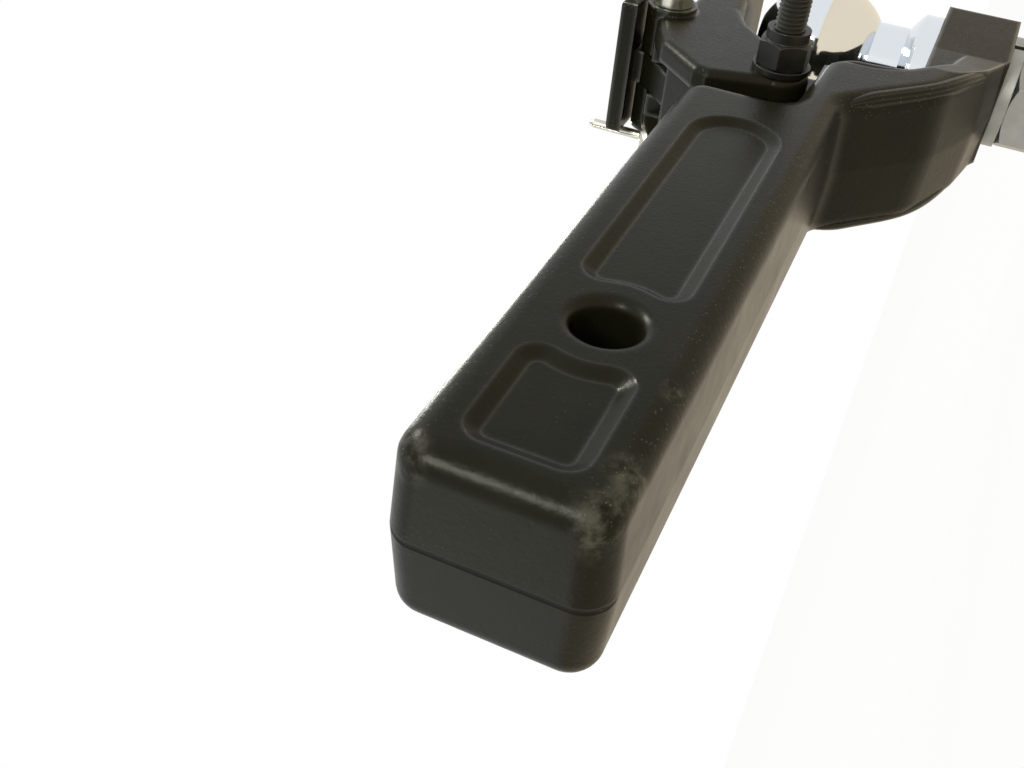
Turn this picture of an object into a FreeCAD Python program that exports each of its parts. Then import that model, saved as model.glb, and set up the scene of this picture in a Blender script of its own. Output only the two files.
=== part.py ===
"""Pintle ball combination hitch for a 2 inch receiver: forged hook body, tow ball, latch and lock lever.

Millimetres. The origin is the centre of the hitch-pin hole, +X runs along the shank towards the ball,
+Y is sideways along the pin hole and +Z is up as the hitch sits in the receiver.
"""
import FreeCAD, Part
import math
import os
import Sketcher

doc = FreeCAD.newDocument("hitch")
sheet = doc.addObject("Spreadsheet::Sheet", "dims")
Vector = FreeCAD.Vector

SIZES = [
    # Shank, measured from the pin hole
    ("shank_width", 50.8), ("shank_tail", 60), ("shoulder_reach", 140), ("shank_draft", 3),
    ("corner_round", 8), ("edge_round", 6.5), ("pin_hole_radius", 8.2), ("pin_hole_lip", 3.2),
    # Lightening pockets in both sides of the shank
    ("pocket_half", 14), ("pocket_depth", 2.2), ("pocket_slope", 60), ("pocket_far_reach", 104),
    ("pocket_tail", 50), ("pocket_corner", 6), ("boss_radius", 16),
    # Swan-neck arm: corners of its outline on the parting plane
    ("crease_reach", 148), ("knee_reach", 177), ("knee_drop", 53), ("belly_reach", 206), ("belly_drop", 65),
    ("rib_end_reach", 228), ("rib_end_drop", 54), ("rib_mid_reach", 206), ("rib_mid_drop", 48.5),
    ("rib_taper_start", 192), ("rib_end_half", 19.5), ("arm_top_drop", 8), ("arm_top_fall", 3),
    ("crease_round", 12), ("knee_round", 26),
    # Ball platform
    ("throat_reach", 186), ("throat_round", 11), ("platform_drop", 42.4), ("platform_thick", 27),
    ("platform_half", 20), ("platform_overhang", 21.5),
    # Tow ball
    ("ball_reach", 251), ("ball_height", 0.5), ("ball_radius", 25.4), ("ball_flat_radius", 9.5),
    ("neck_radius", 15), ("flange_radius", 21.3), ("flange_thick", 7.7),
    ("flange_cone", 3.2), ("flange_edge", 1.2), ("stud_radius", 12.7), ("stud_length", 57),
    ("stud_clearance", 0.3), ("stud_chamfer", 1.6),
    # Nut and split washer under the platform
    ("ball_nut_flats", 38.1), ("ball_nut_height", 22), ("ball_nut_turn", 26), ("nut_chamfer_angle", 30),
    ("ball_washer_thick", 4.6), ("ball_washer_radius", 20.4), ("ball_washer_split", 2.4),
    # Latch pivot
    ("pivot_reach", 169), ("pivot_height", 1), ("lug_radius", 18), ("lug_half", 14),
    ("bolt_radius", 5), ("bolt_tail", 56), ("bolt_head_flats", 16), ("bolt_head_height", 6.4),
    ("bush_wall", 2), ("running_fit", 0.08),
    ("pivot_washer_radius", 9.6), ("pivot_washer_thick", 2), ("pivot_nut_flats", 16),
    ("pivot_nut_height", 8.5), ("pivot_collar_radius", 7.2), ("pivot_collar_height", 3.6),
    # Latch
    ("cheek_half", 22), ("cheek_gap", 0.4), ("ear_radius", 10), ("latch_edge_round", 3.2),
    ("beak_drop_gap", 2.2), ("beak_reach", 266), ("beak_tip_half", 13), ("beak_taper_start", 236),
    ("spring_seat_height", 45), ("knuckle_radius", 9), ("knuckle_half", 24),
    # Lock lever
    ("lever_ahead", 30), ("lever_height", 49), ("hub_half", 6), ("hub_side_gap", 0.35),
    ("lever_pin_radius", 4.75), ("arm_thick", 9), ("paddle_thick", 5), ("arm_gap", 0.9),
    ("nose_half_length", 4),
    ("nose_depth", 1.5), ("nose_half_width", 13), ("notch_play", 3.8), ("notch_gap", 0.5),
    ("plate_gap", 0.6), ("plate_thick", 6), ("plate_half", 26), ("plate_front", 12), ("plate_back", 20),
    ("plate_round", 2.4),
    # Clevis pin, cotter and spring of the lever
    ("pin_head_radius", 7), ("pin_head_height", 4), ("pin_end_reach", 33.5), ("cotter_reach", 30.2),
    ("cotter_radius", 1.8), ("cotter_up", 24), ("cotter_eye_radius", 3.6), ("cotter_hole_gap", 0.15),
    ("spring_behind", 15), ("spring_radius", 3.7), ("spring_wire", 0.8), ("spring_turns", 4),
    ("seat_gap", 0.1),
]


def fill_sheet():
    for row, (alias, number) in enumerate(SIZES, start=1):
        sheet.set(f"A{row}", alias)
        sheet.set(f"B{row}", str(number))
        sheet.setAlias(f"B{row}", alias)
    doc.recompute()


def size(text):
    """Number that an expression in the sheet's aliases comes to."""
    number = sheet.evalExpression(text)
    return float(getattr(number, "Value", number))


def bound(text):
    """Expression for another object, with each alias read from the sheet."""
    words = sorted((alias for alias, number in SIZES), key=len, reverse=True)
    out = []
    position = 0
    while position < len(text):
        hit = next((word for word in words if text.startswith(word, position)), None)
        if hit:
            out.append(f"dims.{hit}")
            position += len(hit)
        else:
            out.append(text[position])
            position += 1
    return "".join(out)


def drive(thing, prop, text):
    thing.setExpression(prop, bound(text))


def new_body(label):
    body = doc.addObject("PartDesign::Body", label)
    body.Label = label
    return body


def new_sketch(body, name, role="XZ_Plane"):
    sketch = body.newObject("Sketcher::SketchObject", name)
    plane = next(part for part in body.Origin.OriginFeatures if part.Role == role)
    sketch.AttachmentSupport = [(plane, "")]
    sketch.MapMode = "FlatFace"
    return sketch


def pin_point(sketch, geometry, end, texts):
    """Tie one point of a sketch to the sheet, by its two distances from the sketch's origin."""
    for kind, text in zip(("DistanceX", "DistanceY"), texts):
        index = sketch.addConstraint(Sketcher.Constraint(kind, -1, 1, geometry, end, size(text)))
        drive(sketch, f"Constraints[{index}]", text)


def polygon(body, name, corners, role="XZ_Plane"):
    """Closed outline through corners, each a pair of expressions."""
    sketch = new_sketch(body, name, role)
    spots = [Vector(size(across), size(up), 0) for across, up in corners]
    count = len(spots)
    for index in range(count):
        sketch.addGeometry(Part.LineSegment(spots[index], spots[(index + 1) % count]))
    for index in range(count):
        sketch.addConstraint(Sketcher.Constraint("Coincident", index, 2, (index + 1) % count, 1))
    for index, corner in enumerate(corners):
        pin_point(sketch, index, 1, corner)
    return sketch


def circle(body, name, across, up, radius, role="XZ_Plane"):
    sketch = new_sketch(body, name, role)
    centre = Vector(size(across), size(up), 0)
    sketch.addGeometry(Part.Circle(centre, Vector(0, 0, 1), size(radius)))
    pin_point(sketch, 0, 3, (across, up))
    index = sketch.addConstraint(Sketcher.Constraint("Radius", 0, size(radius)))
    drive(sketch, f"Constraints[{index}]", radius)
    return sketch


def pad(body, name, sketch, half, draft=None):
    """Solid from an outline on the middle plane, the same way out to both sides."""
    feature = body.newObject("PartDesign::Pad", name)
    feature.Profile = sketch
    feature.SideType = "Two sides"
    drive(feature, "Length", half)
    drive(feature, "Length2", half)
    if draft:
        drive(feature, "TaperAngle", f"-{draft}")
        drive(feature, "TaperAngle2", f"-{draft}")
    doc.recompute()
    return feature


def cut(body, name, sketch, half):
    """Opening through the middle plane, the same way out to both sides."""
    before = body.Shape.Volume
    feature = body.newObject("PartDesign::Pocket", name)
    feature.Profile = sketch
    feature.SideType = "Two sides"
    drive(feature, "Length", half)
    drive(feature, "Length2", half)
    doc.recompute()
    if not body.Shape.Volume < before:
        raise RuntimeError(f"{name} cuts nothing")
    return feature


def round_edges(body, name, radius, wanted):
    """Fillet on the edges of the body that the test wanted(edge) picks."""
    base = body.Tip
    names = [f"Edge{index}" for index, edge in enumerate(base.Shape.Edges, start=1) if wanted(edge)]
    feature = body.newObject("PartDesign::Fillet", name)
    feature.Base = (base, names)
    drive(feature, "Radius", radius)
    doc.recompute()
    return feature


def meets(across, up, near=0.01):
    """Test for an edge that crosses the middle plane's outline at one corner."""
    spot = Vector(size(across), 0, size(up))
    return lambda edge: any(vertex.Point.distanceToPoint(spot) < near for vertex in edge.Vertexes) \
        and abs(edge.tangentAt(edge.FirstParameter).y) > 0.5


def on_side(half, near=0.01):
    """Test for an edge that lies in one of the two side faces."""
    reach = size(half)
    return lambda edge: all(abs(abs(vertex.Point.y) - reach) < near for vertex in edge.Vertexes) \
        and abs(edge.BoundBox.YMax - edge.BoundBox.YMin) < near


def primitive(kind, name, **sizes):
    """Part primitive with each size tied to the sheet."""
    thing = doc.addObject(f"Part::{kind}", name)
    for prop, text in sizes.items():
        drive(thing, prop, text)
    return thing


def place(thing, x, y, z, axis=None, angle=0):
    """Put a primitive with its own Z along an axis: Y by default turns it to point along +Y."""
    if axis:
        thing.Placement = FreeCAD.Placement(Vector(), FreeCAD.Rotation(Vector(*axis), angle))
    for prop, text in zip(("x", "y", "z"), (x, y, z)):
        drive(thing, f"Placement.Base.{prop}", text)
    return thing


def join(label, things):
    thing = doc.addObject("Part::MultiFuse", label)
    thing.Shapes = things
    thing.Refine = True
    thing.Label = label
    doc.recompute()
    return thing


def subtract(label, base, tool):
    thing = doc.addObject("Part::Cut", label)
    thing.Base = base
    thing.Tool = tool
    thing.Refine = True
    thing.Label = label
    doc.recompute()
    return thing


def tangent_loop(body, name, shapes, offset):
    """Sketch whose lines and arcs run smoothly into each other, on a plane set off along -Y."""
    sketch = new_sketch(body, name)
    drive(sketch, "AttachmentOffset.Base.z", offset)
    for shape in shapes:
        sketch.addGeometry(shape)
    return sketch


def smooth_corners(sketch, count, backward):
    """Tangent joints round a loop in which one arc, the boss's, is drawn backward."""
    ends = [(2, 1) if index == backward else (1, 2) for index in range(count)]
    for index in range(count):
        following = (index + 1) % count
        sketch.addConstraint(Sketcher.Constraint("Tangent", index, ends[index][1], following,
                ends[following][0]))


def arc(centre, radius, start, end):
    """Arc through angles in radians, anticlockwise from start to end."""
    return Part.ArcOfCircle(Part.Circle(Vector(*centre, 0), Vector(0, 0, 1), radius), start, end)


fill_sheet()


def shank_pocket(body, name, shapes, boss_arc, radii, fixed):
    """Shallow pocket with sloping walls in the shank's -Y face."""
    sketch = tangent_loop(body, f"{name}_outline", shapes, "shank_width / 2")
    smooth_corners(sketch, len(shapes), boss_arc)
    for geometry, text in radii:
        index = sketch.addConstraint(Sketcher.Constraint("Radius", geometry, size(text)))
        drive(sketch, f"Constraints[{index}]", text)
    for kind, geometry, end, text in fixed:
        index = sketch.addConstraint(Sketcher.Constraint(kind, -1, 1, geometry, end, size(text)))
        drive(sketch, f"Constraints[{index}]", text)
    doc.recompute()
    before = body.Shape.Volume
    feature = body.newObject("PartDesign::Pocket", name)
    feature.Profile = sketch
    drive(feature, "Length", "pocket_depth")
    drive(feature, "TaperAngle", "-pocket_slope")
    doc.recompute()
    if not body.Shape.Volume < before:
        raise RuntimeError(f"{name} cuts nothing")
    return feature


def far_pocket(body):
    """Pocket between the pin hole's boss and the shoulder, with a round far end."""
    half, end, boss, corner = (size(text) for text in
                               ("pocket_half", "pocket_far_reach", "boss_radius", "pocket_corner"))
    reach = math.sqrt((boss + corner) ** 2 - (half - corner) ** 2)
    lean = math.atan2(half - corner, reach)
    right = math.pi / 2
    shapes = [
        Part.LineSegment(Vector(reach, -half, 0), Vector(end, -half, 0)),
        arc((end, 0), half, -right, right),
        Part.LineSegment(Vector(end, half, 0), Vector(reach, half, 0)),
        arc((reach, half - corner), corner, right, math.pi + lean),
        arc((0, 0), boss, -lean, lean),
        arc((reach, corner - half), corner, math.pi - lean, 3 * right),
    ]
    radii = [(1, "pocket_half"), (3, "pocket_corner"), (4, "boss_radius"), (5, "pocket_corner")]
    fixed = [("DistanceX", 1, 3, "pocket_far_reach"), ("DistanceY", 1, 3, "0 * pocket_half"),
             ("DistanceX", 4, 3, "0 * pocket_half"), ("DistanceY", 4, 3, "0 * pocket_half")]
    return shank_pocket(body, "far_pocket", shapes, 4, radii, fixed)


def near_pocket(body):
    """Pocket between the shank's end and the pin hole's boss."""
    half, end, boss, corner = (size(text) for text in
                               ("pocket_half", "pocket_tail", "boss_radius", "pocket_corner"))
    reach = math.sqrt((boss + corner) ** 2 - (half - corner) ** 2)
    lean = math.atan2(half - corner, reach)
    right = math.pi / 2
    shapes = [
        Part.LineSegment(Vector(-reach, half, 0), Vector(corner - end, half, 0)),
        arc((corner - end, half - corner), corner, right, math.pi),
        Part.LineSegment(Vector(-end, half - corner, 0), Vector(-end, corner - half, 0)),
        arc((corner - end, corner - half), corner, math.pi, 3 * right),
        Part.LineSegment(Vector(corner - end, -half, 0), Vector(-reach, -half, 0)),
        arc((-reach, corner - half), corner, -right, lean),
        arc((0, 0), boss, math.pi - lean, math.pi + lean),
        arc((-reach, half - corner), corner, -lean, right),
    ]
    radii = [(1, "pocket_corner"), (3, "pocket_corner"), (5, "pocket_corner"), (6, "boss_radius"),
             (7, "pocket_corner")]
    fixed = [("DistanceX", 2, 1, "-pocket_tail"), ("DistanceY", 0, 1, "pocket_half"),
             ("DistanceY", 4, 1, "-pocket_half"),
             ("DistanceX", 6, 3, "0 * pocket_half"), ("DistanceY", 6, 3, "0 * pocket_half")]
    return shank_pocket(body, "near_pocket", shapes, 6, radii, fixed)


def make_hook_body():
    """Forging in one piece: square shank, swan-neck arm, ball platform and latch lug."""
    body = new_body("hook_body")
    bar = polygon(body, "bar_outline", [
        ("-shank_tail", "-shank_width / 2"),
        ("crease_reach", "-shank_width / 2"),
        ("knee_reach", "-knee_drop"),
        ("belly_reach", "-belly_drop"),
        ("rib_end_reach", "-(platform_drop + platform_thick)"),
        ("rib_end_reach", "-rib_end_drop"),
        ("rib_mid_reach", "-rib_mid_drop"),
        ("throat_reach", "-platform_drop + throat_round"),
        ("throat_reach", "-(arm_top_drop + arm_top_fall)"),
        ("shoulder_reach", "-arm_top_drop"),
        ("shoulder_reach", "shank_width / 2"),
        ("-shank_tail", "shank_width / 2")])
    pad(body, "bar", bar, "shank_width / 2", "shank_draft")
    half = "shank_width / 2"
    corners = [meets("-shank_tail", "-shank_width / 2"), meets("-shank_tail", half),
               meets("shoulder_reach", half), meets("shoulder_reach", "-arm_top_drop"),
               meets("throat_reach", "-(arm_top_drop + arm_top_fall)")]
    round_edges(body, "bar_corners", "corner_round", lambda edge: any(test(edge) for test in corners))
    crease = meets("crease_reach", "-shank_width / 2")
    round_edges(body, "crease_blend", "crease_round", crease)
    bends = [meets("knee_reach", "-knee_drop"), meets("belly_reach", "-belly_drop")]
    round_edges(body, "belly_blend", "knee_round", lambda edge: any(test(edge) for test in bends))
    throat = meets("throat_reach", "-platform_drop + throat_round")
    round_edges(body, "throat_blend", "2 * throat_round", throat)
    round_edges(body, "bar_edges", "edge_round", on_side(half))
    wedge = polygon(body, "rib_taper_outline", [
        ("rib_taper_start", "shank_width / 2"),
        ("rib_end_reach", "rib_end_half"),
        ("rib_end_reach + edge_round", "rib_end_half"),
        ("rib_end_reach + edge_round", "shank_width / 2 + edge_round"),
        ("rib_taper_start", "shank_width / 2 + edge_round")], "XY_Plane")
    other = polygon(body, "rib_taper_mirror", [
        ("rib_taper_start", "-shank_width / 2"),
        ("rib_end_reach", "-rib_end_half"),
        ("rib_end_reach + edge_round", "-rib_end_half"),
        ("rib_end_reach + edge_round", "-(shank_width / 2 + edge_round)"),
        ("rib_taper_start", "-(shank_width / 2 + edge_round)")], "XY_Plane")
    cut(body, "rib_taper_left", wedge, "2 * shank_width")
    cut(body, "rib_taper_right", other, "2 * shank_width")
    core = polygon(body, "platform_outline", [
        ("pivot_reach", "-(arm_top_drop + arm_top_fall)"),
        ("throat_reach", "-(arm_top_drop + arm_top_fall)"),
        ("throat_reach", "-platform_drop"),
        ("ball_reach + platform_overhang", "-platform_drop"),
        ("ball_reach + platform_overhang", "-(platform_drop + platform_thick)"),
        ("rib_end_reach", "-(platform_drop + platform_thick)"),
        ("belly_reach", "-belly_drop + edge_round"),
        ("pivot_reach", "-platform_drop + edge_round")])
    pad(body, "platform", core, "platform_half")
    web = polygon(body, "lug_web_outline", [
        ("shoulder_reach - corner_round", "-(arm_top_drop + arm_top_fall)"),
        ("throat_reach", "-(arm_top_drop + arm_top_fall)"),
        ("throat_reach", "pivot_height"),
        ("shoulder_reach - corner_round", "pivot_height")])
    pad(body, "lug_web", web, "lug_half")
    pad(body, "lug", circle(body, "lug_outline", "pivot_reach", "pivot_height", "lug_radius"), "lug_half")
    hole = circle(body, "pin_hole_outline", "0 * shank_tail", "0 * shank_tail", "pin_hole_radius")
    cut(body, "pin_hole", hole, "shank_width")
    mouth = size("pin_hole_radius")
    round_edges(body, "pin_hole_lips", "pin_hole_lip",
                lambda edge: on_side(half)(edge) and hasattr(edge.Curve, "Radius")
                and abs(edge.Curve.Radius - mouth) < 0.01)
    bore = circle(body, "pivot_bore_outline", "pivot_reach", "pivot_height", "bolt_radius + bush_wall")
    cut(body, "pivot_bore", bore, "shank_width")
    stud = circle(body, "stud_hole_outline", "ball_reach", "0 * ball_reach", "stud_radius + stud_clearance",
                  "XY_Plane")
    cut(body, "stud_hole", stud, "2 * (platform_drop + platform_thick)")
    notch = polygon(body, "catch_notch_outline", lever_corners([
        ("-nose_half_length - notch_gap", "-nose_depth - notch_gap"),
        ("nose_half_length + notch_play", "-nose_depth - notch_gap"),
        ("nose_half_length + notch_play", "lug_radius / 2"),
        ("-nose_half_length - notch_gap", "lug_radius / 2")]))
    cut(body, "catch_notch", notch, "shank_width / 2 - edge_round")
    pockets = [far_pocket(body), near_pocket(body)]
    before = body.Shape.Volume
    mirror = body.newObject("PartDesign::Mirrored", "pockets_mirrored")
    mirror.Originals = pockets
    plane = next(part for part in body.Origin.OriginFeatures if part.Role == "XZ_Plane")
    mirror.MirrorPlane = (plane, [""])
    body.Tip = mirror
    doc.recompute()
    if not body.Shape.Volume < before:
        raise RuntimeError("the mirrored pockets cut nothing")
    return body


LEVER_RUN = "lever_ahead"
LEVER_RISE = "(lever_height - pivot_height)"
LEVER_SPAN = f"sqrt({LEVER_RUN}^2 + {LEVER_RISE}^2)"
CATCH_ANGLE = f"(atan2({LEVER_RISE}; {LEVER_RUN}) + acos(lug_radius / {LEVER_SPAN}))"
NOSE_REACH = f"sqrt({LEVER_SPAN}^2 - lug_radius^2)"


def lever_corners(pairs):
    """Corners given as (along the opening direction, out from the lug) at the catch on the lug's rim."""
    corners = []
    for along, out in pairs:
        radius = f"(lug_radius + {out})"
        across = f"pivot_reach + {radius} * cos({CATCH_ANGLE}) - ({along}) * sin({CATCH_ANGLE})"
        up = f"pivot_height + {radius} * sin({CATCH_ANGLE}) + ({along}) * cos({CATCH_ANGLE})"
        corners.append((across, up))
    return corners


def make_ball():
    """Tow ball turned in one piece with neck, flange and stud, flat on top."""
    body = new_body("hitch_ball")
    sketch = new_sketch(body, "ball_profile")
    drive(sketch, "AttachmentOffset.Base.x", "ball_reach")
    drive(sketch, "AttachmentOffset.Base.y", "ball_height")
    top = "sqrt(ball_radius^2 - ball_flat_radius^2)"
    seat = "-(platform_drop + ball_height)"
    waist = "-sqrt(ball_radius^2 - neck_radius^2)"
    shoulder = f"{seat} + flange_thick"
    foot = f"{seat} - stud_length"
    corners = [
        ("0 * neck_radius", top), ("ball_flat_radius", top), ("neck_radius", waist),
        ("neck_radius", f"{shoulder} + flange_cone"), ("flange_radius - flange_edge", shoulder),
        ("flange_radius", f"{shoulder} - flange_edge"), ("flange_radius", seat), ("stud_radius", seat),
        ("stud_radius", f"{foot} + stud_chamfer"), ("stud_radius - stud_chamfer", foot),
        ("0 * neck_radius", foot)]
    spots = [Vector(size(across), size(up), 0) for across, up in corners]
    count = len(spots)
    for index in range(count):
        following = spots[(index + 1) % count]
        if index == 1:
            radius = size("ball_radius")
            start = math.atan2(following.y, following.x)
            sketch.addGeometry(arc((0, 0), radius, start, math.atan2(spots[1].y, spots[1].x)))
        else:
            sketch.addGeometry(Part.LineSegment(spots[index], following))
    ends = [(1, 2)] * count
    ends[1] = (2, 1)
    for index in range(count):
        following = (index + 1) % count
        sketch.addConstraint(Sketcher.Constraint("Coincident", index, ends[index][1], following,
                ends[following][0]))
    sketch.addConstraint(Sketcher.Constraint("Coincident", 1, 3, -1, 1))
    for index, corner in enumerate(corners):
        if index == 2:
            row = sketch.addConstraint(Sketcher.Constraint("DistanceX", -1, 1, index, 1, size(corner[0])))
            drive(sketch, f"Constraints[{row}]", corner[0])
        elif index == 1:
            row = sketch.addConstraint(Sketcher.Constraint("DistanceX", -1, 1, 0, 2, size(corner[0])))
            drive(sketch, f"Constraints[{row}]", corner[0])
            row = sketch.addConstraint(Sketcher.Constraint("Radius", 1, size("ball_radius")))
            drive(sketch, f"Constraints[{row}]", "ball_radius")
        elif index == 0:
            sketch.addConstraint(Sketcher.Constraint("DistanceX", -1, 1, index, 1, 0))
            sketch.addConstraint(Sketcher.Constraint("Horizontal", 0))
        else:
            pin_point(sketch, index, 1, corner)
    doc.recompute()
    turned = body.newObject("PartDesign::Revolution", "ball_turned")
    turned.Profile = sketch
    turned.ReferenceAxis = (sketch, ["V_Axis"])
    turned.Angle = 360
    doc.recompute()
    return body


def hex_blank(name, flats, height):
    prism = primitive("Prism", name, Circumradius=f"{flats} / sqrt(3)", Height=height)
    prism.Polygon = 6
    return prism


def chamfer_cone(name, flats, height):
    """Double cone whose rims cut the corners of a hexagon at the nut's slope."""
    rim = f"({flats} / 2)"
    grow = f"({height} / 2) / tan(nut_chamfer_angle)"
    lower = primitive("Cone", f"{name}_low", Radius1=rim, Radius2=f"{rim} + {grow}", Height=f"{height} / 2")
    upper = primitive("Cone", f"{name}_high", Radius1=f"{rim} + {grow}", Radius2=rim,
                      Height=f"{height} / 2")
    drive(upper, "Placement.Base.z", f"{height} / 2")
    return join(f"{name}_cones", [lower, upper])


def make_nut(label, flats, height, bore_radius, extra=None):
    """Chamfered hexagon nut along its own Z, with an optional round collar on its far end."""
    blank = hex_blank(f"{label}_blank", flats, height)
    cone = chamfer_cone(label, flats, height)
    trimmed = doc.addObject("Part::Common", f"{label}_trimmed")
    trimmed.Base = blank
    trimmed.Tool = cone
    doc.recompute()
    solid = trimmed
    reach = height
    if extra:
        radius, length = extra
        collar = primitive("Cylinder", f"{label}_collar", Radius=radius, Height=length)
        drive(collar, "Placement.Base.z", height)
        solid = join(f"{label}_with_collar", [trimmed, collar])
        reach = f"{height} + {length}"
    hole = primitive("Cylinder", f"{label}_hole", Radius=bore_radius, Height=f"2 * ({reach})")
    drive(hole, "Placement.Base.z", f"-({reach}) / 2")
    return subtract(label, solid, hole)


def make_ball_fixings():
    seat = "-(platform_drop + platform_thick)"
    ring = primitive("Cylinder", "washer_ring", Radius="ball_washer_radius", Height="ball_washer_thick")
    hole = primitive("Cylinder", "washer_hole", Radius="stud_radius + stud_clearance",
                     Height="3 * ball_washer_thick")
    drive(hole, "Placement.Base.z", "-ball_washer_thick")
    gap = primitive("Box", "washer_gap", Length="2 * ball_washer_radius", Width="ball_washer_split",
                    Height="3 * ball_washer_thick")
    drive(gap, "Placement.Base.y", "-ball_washer_split / 2")
    drive(gap, "Placement.Base.z", "-ball_washer_thick")
    gap.Placement.Rotation = FreeCAD.Rotation(Vector(0, 0, 1), 250)
    washer = subtract("ball_lock_washer", ring, join("washer_cuts", [hole, gap]))
    place(washer, "ball_reach", "0 * ball_reach", f"{seat} - ball_washer_thick")
    nut = make_nut("ball_nut", "ball_nut_flats", "ball_nut_height", "stud_radius + seat_gap")
    nut.Placement.Rotation = FreeCAD.Rotation(Vector(0, 0, 1), size("ball_nut_turn"))
    place(nut, "ball_reach", "0 * ball_reach", f"{seat} - ball_washer_thick - ball_nut_height")
    return [washer, nut]


def along_y(thing, start, reach="pivot_reach", height="pivot_height", backward=False):
    """Stand a piece made along its own Z on the latch pivot's axis, pointing along +Y or -Y."""
    thing.Placement = FreeCAD.Placement(Vector(), FreeCAD.Rotation(Vector(1, 0, 0),
                                        90 if backward else -90))
    return place(thing, reach, start, height)


def make_pivot():
    """Bolt, bush, washers and lock nut that the latch turns on."""
    seat = "(cheek_half + pivot_washer_thick)"
    bush_outer = primitive("Cylinder", "bush_outer", Radius="bolt_radius + bush_wall",
                           Height="2 * lug_half")
    bush_inner = primitive("Cylinder", "bush_inner", Radius="bolt_radius + running_fit",
                           Height="4 * lug_half")
    drive(bush_inner, "Placement.Base.z", "-lug_half")
    bush = subtract("pivot_bush", bush_outer, bush_inner)
    along_y(bush, "-lug_half")
    head = hex_blank("bolt_head_blank", "bolt_head_flats", "bolt_head_height")
    dome = chamfer_cone("bolt_head", "bolt_head_flats", "2 * bolt_head_height")
    drive(dome, "Placement.Base.z", "-bolt_head_height")
    head_trim = doc.addObject("Part::Common", "bolt_head_trim")
    head_trim.Base = head
    head_trim.Tool = dome
    stem = primitive("Cylinder", "bolt_stem", Radius="bolt_radius", Height=f"bolt_tail + {seat}")
    drive(stem, "Placement.Base.z", f"-(bolt_tail + {seat})")
    bolt = join("latch_pivot_bolt", [head_trim, stem])
    along_y(bolt, seat)
    discs = []
    for name, start in (("left", "cheek_half"), ("right", "-cheek_half - pivot_washer_thick")):
        disc = primitive("Cylinder", f"washer_disc_{name}", Radius="pivot_washer_radius",
                         Height="pivot_washer_thick")
        along_y(disc, start)
        discs.append(disc)
    pair = join("washer_discs", discs)
    hole = primitive("Cylinder", "washer_bolt_hole", Radius="bolt_radius + seat_gap",
                     Height="4 * cheek_half")
    along_y(hole, "-2 * cheek_half")
    washers = subtract("pivot_washers", pair, hole)
    nut = make_nut("latch_pivot_nut", "pivot_nut_flats", "pivot_nut_height", "bolt_radius + seat_gap",
                   ("pivot_collar_radius", "pivot_collar_height"))
    along_y(nut, f"-{seat}", backward=True)
    return [bush, bolt, washers, nut]


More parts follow.
